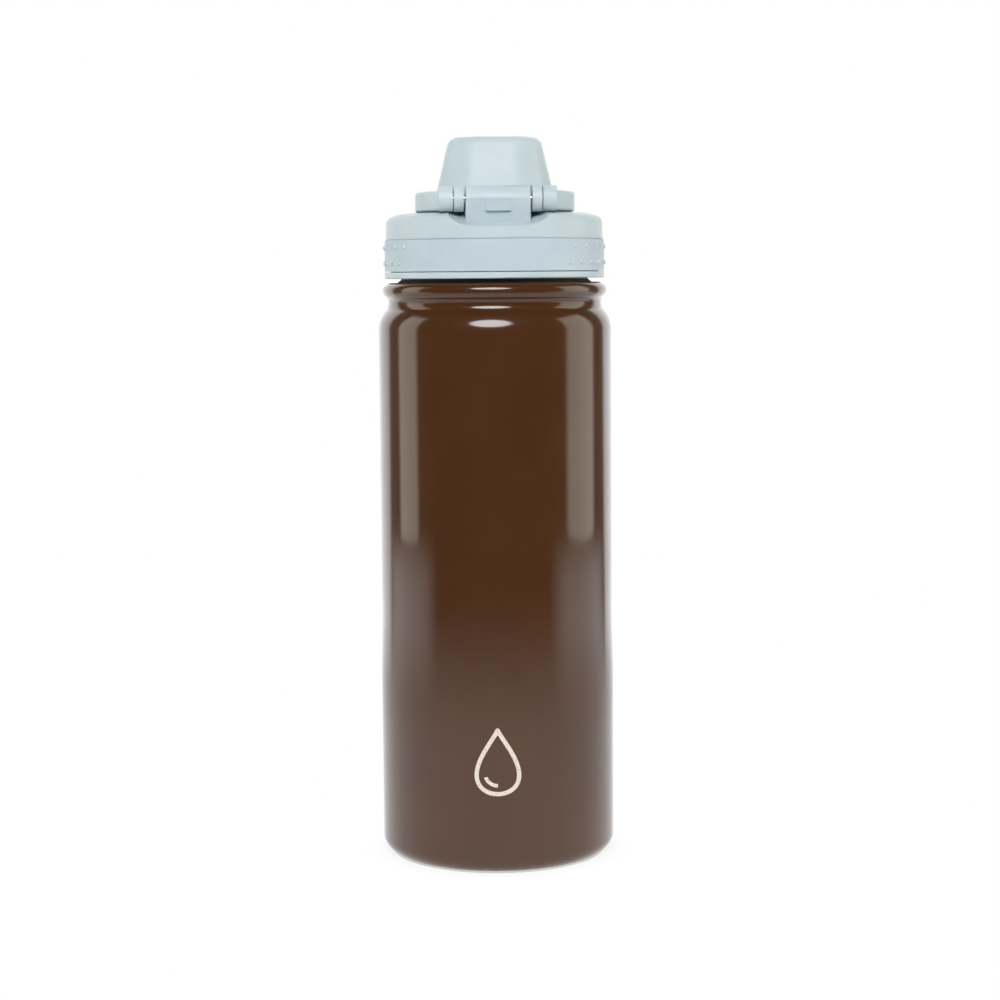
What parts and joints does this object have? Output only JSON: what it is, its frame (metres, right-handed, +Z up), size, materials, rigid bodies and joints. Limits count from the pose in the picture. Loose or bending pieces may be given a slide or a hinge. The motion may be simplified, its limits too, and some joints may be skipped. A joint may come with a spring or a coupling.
{
  "type": "water bottle",
  "caption": "Insulated steel water bottle in brown lacquer with a pale blue-grey screw lid, flip cover over a drinking spout, carry loop and push button.",
  "frame": {"origin": "centre of the foot, on the surface the bottle stands on", "axes": "+Z up along the bottle; the lid's hinge is at -Y and its push button at +Y"},
  "size_m": [0.073, 0.073, 0.2226],
  "materials": {
    "painted_shell": "gloss brown lacquer on steel",
    "stainless_steel": "satin stainless steel",
    "pin_steel": "bright drawn wire",
    "black_rubber": "matt moulded",
    "silicone": "translucent moulded",
    "lid_plastic": "satin moulded polypropylene",
    "grip_rubber": "soft-touch moulded",
    "liner_plastic": "satin moulded polypropylene"
  },
  "bodies": {
    "bottle": {"outer_shell": "painted_shell", "inner_flask": "stainless_steel", "neck_collar": "stainless_steel", "base_plate": "stainless_steel", "seal_plug": "stainless_steel", "getter_cup": "stainless_steel", "shoulder_gasket": "black_rubber"},
    "seal_ring": {"lid_gasket": "silicone"},
    "lid": {"lid_body": "lid_plastic", "grip_ring": "grip_rubber", "lid_cover": "lid_plastic", "lid_liner": "liner_plastic", "spout": "liner_plastic", "vent_valve": "silicone", "hinge_pin": "pin_steel", "cover_spring": "pin_steel", "button_spring": "pin_steel"},
    "cover": {"flip_cover": "lid_plastic", "seal_carrier": "liner_plastic", "spout_seal": "silicone"},
    "loop": {"carry_loop": "lid_plastic"},
    "button": {"release_button": "lid_plastic"}
  },
  "joints": [
    {"name": "lid_lift", "type": "slide", "parent": "bottle", "child": "seal_ring", "axis": [0, 0, 1], "range_m": [0, 0.008]},
    {"name": "lid_turn", "type": "hinge", "parent": "seal_ring", "child": "lid", "pos_m": [0, 0, 0.185], "axis": [0, 0, 1], "range_deg": [0, 720]},
    {"name": "cover_hinge", "type": "hinge", "parent": "lid", "child": "cover", "pos_m": [0, -0.0255, 0.2036], "axis": [1, 0, 0], "range_deg": [0, 150]},
    {"name": "loop_hinge", "type": "hinge", "parent": "lid", "child": "loop", "pos_m": [0, -0.0255, 0.2036], "axis": [1, 0, 0], "range_deg": [0, 180]},
    {"name": "button_press", "type": "slide", "parent": "lid", "child": "button", "axis": [0, -1, 0], "range_m": [0, 0.002], "stiffness_N_per_m": 800, "springref_m": -0.001, "deforming": ["button_spring"]}
  ],
  "couplings": [
    {"joint": "lid_lift", "follows": "lid_turn", "m_per_rad": 0.00063662}
  ]
}
